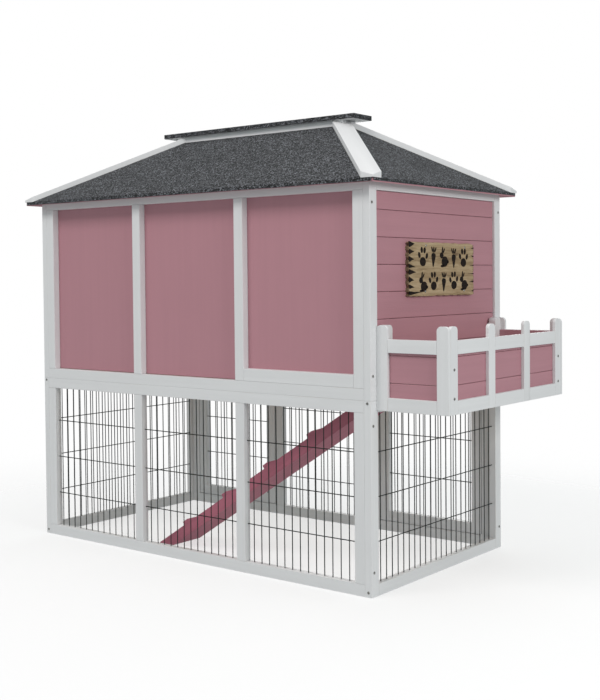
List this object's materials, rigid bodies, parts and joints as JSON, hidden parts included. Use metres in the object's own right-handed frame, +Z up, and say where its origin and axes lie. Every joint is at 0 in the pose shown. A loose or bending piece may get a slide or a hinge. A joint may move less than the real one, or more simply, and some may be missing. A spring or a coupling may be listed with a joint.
{
  "type": "rabbit hutch",
  "caption": "Two-storey timber rabbit hutch: wire run below, boarded house above, hipped felt roof, ramp, droppings tray, rear doors and an end balcony.",
  "frame": {"origin": "on the ground, under the middle of the whole hutch's bounding box", "axes": "+X along the hutch towards the balcony, +Y to the side with the doors, +Z up"},
  "size_m": [1.4362, 0.706, 1.2045],
  "materials": {
    "white_paint": "satin white paint on sawn timber",
    "pink_paint": "dusky pink stain on boards and plywood",
    "bare_pine": "unpainted planed pine and plywood",
    "coated_wire": "dark green-black coated welded wire",
    "mineral_felt": "bituminous roofing felt with grey mineral granules",
    "zinc_plate": "zinc-plated pressed steel",
    "screw_steel": "dull steel screw heads and nails",
    "tray_plastic": "grey moulded plastic tray",
    "driftwood": "weathered tan wood with burnt edges"
  },
  "bodies": {
    "hutch": {"balcony_boards": "pink_paint", "balcony_floor": "bare_pine", "balcony_front_frame": "white_paint", "balcony_side_frames": "white_paint", "balcony_wall_posts": "white_paint", "floor_bearers": "bare_pine", "frame_screws": "screw_steel", "hinge_fixed_leaves": "zinc_plate", "hinge_pins": "zinc_plate", "hip_boards": "white_paint", "house_end_boards": "pink_paint", "house_end_frames": "white_paint", "house_floor": "bare_pine", "house_front_panels": "pink_paint", "house_front_posts": "white_paint", "house_front_rails": "white_paint", "house_rear_mesh": "coated_wire", "house_rear_posts": "white_paint", "house_rear_rails": "white_paint", "plaque": "driftwood", "plaque_nails": "screw_steel", "ridge_box": "white_paint", "ridge_cap_board": "white_paint", "ridge_cap_felt": "mineral_felt", "roof_end_boards": "pink_paint", "roof_felt": "mineral_felt", "roof_long_boards": "pink_paint", "run_end_frames": "white_paint", "run_front_mesh": "coated_wire", "run_front_posts": "white_paint", "run_front_rails": "white_paint", "run_left_end_mesh": "coated_wire", "run_rear_mesh": "coated_wire", "run_rear_posts": "white_paint", "run_rear_rails": "white_paint", "run_right_end_mesh": "coated_wire", "turn_button_screws": "screw_steel"},
    "run_left_door": {"run_left_door_frame": "white_paint", "run_left_door_mesh": "coated_wire", "run_left_door_hinge_leaves": "zinc_plate"},
    "run_left_turn_button": {"run_left_turn_button": "white_paint"},
    "run_right_door": {"run_right_door_frame": "white_paint", "run_right_door_mesh": "coated_wire", "run_right_door_hinge_leaves": "zinc_plate"},
    "run_right_turn_button": {"run_right_turn_button": "white_paint"},
    "house_left_door": {"house_left_door_frame": "white_paint", "house_left_door_boards": "pink_paint", "house_left_door_hinge_leaves": "zinc_plate"},
    "house_left_turn_button": {"house_left_turn_button": "white_paint"},
    "house_right_door": {"house_right_door_frame": "white_paint", "house_right_door_boards": "pink_paint", "house_right_door_hinge_leaves": "zinc_plate"},
    "house_right_turn_button": {"house_right_turn_button": "white_paint"},
    "tray": {"droppings_tray": "tray_plastic", "tray_front": "white_paint"},
    "ramp": {"ramp_deck": "pink_paint", "ramp_cleats": "pink_paint", "ramp_hinge_leaves": "zinc_plate"}
  },
  "joints": [
    {"name": "run_left_door_hinge", "type": "hinge", "parent": "hutch", "child": "run_left_door", "pos_m": [-0.6316, 0.321, 0.235], "axis": [0, 0, 1], "range_deg": [0, 110]},
    {"name": "run_left_turn_button_turn", "type": "hinge", "parent": "hutch", "child": "run_left_turn_button", "pos_m": [-0.2781, 0.3185, 0.235], "axis": [0, 1, 0], "range_deg": [0, 90]},
    {"name": "run_right_door_hinge", "type": "hinge", "parent": "hutch", "child": "run_right_door", "pos_m": [0.4654, 0.321, 0.235], "axis": [0, 0, -1], "range_deg": [0, 110]},
    {"name": "run_right_turn_button_turn", "type": "hinge", "parent": "hutch", "child": "run_right_turn_button", "pos_m": [0.1019, 0.3185, 0.235], "axis": [0, 1, 0], "range_deg": [0, 90]},
    {"name": "house_left_door_hinge", "type": "hinge", "parent": "hutch", "child": "house_left_door", "pos_m": [-0.6316, 0.321, 0.768], "axis": [0, 0, 1], "range_deg": [0, 110]},
    {"name": "house_left_turn_button_turn", "type": "hinge", "parent": "hutch", "child": "house_left_turn_button", "pos_m": [-0.2781, 0.3185, 0.768], "axis": [0, 1, 0], "range_deg": [0, 90]},
    {"name": "house_right_door_hinge", "type": "hinge", "parent": "hutch", "child": "house_right_door", "pos_m": [0.4654, 0.321, 0.7355], "axis": [0, 0, -1], "range_deg": [0, 110]},
    {"name": "house_right_turn_button_turn", "type": "hinge", "parent": "hutch", "child": "house_right_turn_button", "pos_m": [0.1019, 0.3185, 0.7355], "axis": [0, 1, 0], "range_deg": [0, 90]},
    {"name": "tray_slide", "type": "slide", "parent": "hutch", "child": "tray", "axis": [0, 1, 0], "range_m": [0, 0.54]},
    {"name": "ramp_hinge", "type": "hinge", "parent": "hutch", "child": "ramp", "pos_m": [0.4519, -0.159, 0.484], "axis": [0, 1, 0], "range_deg": [0, 28]}
  ]
}
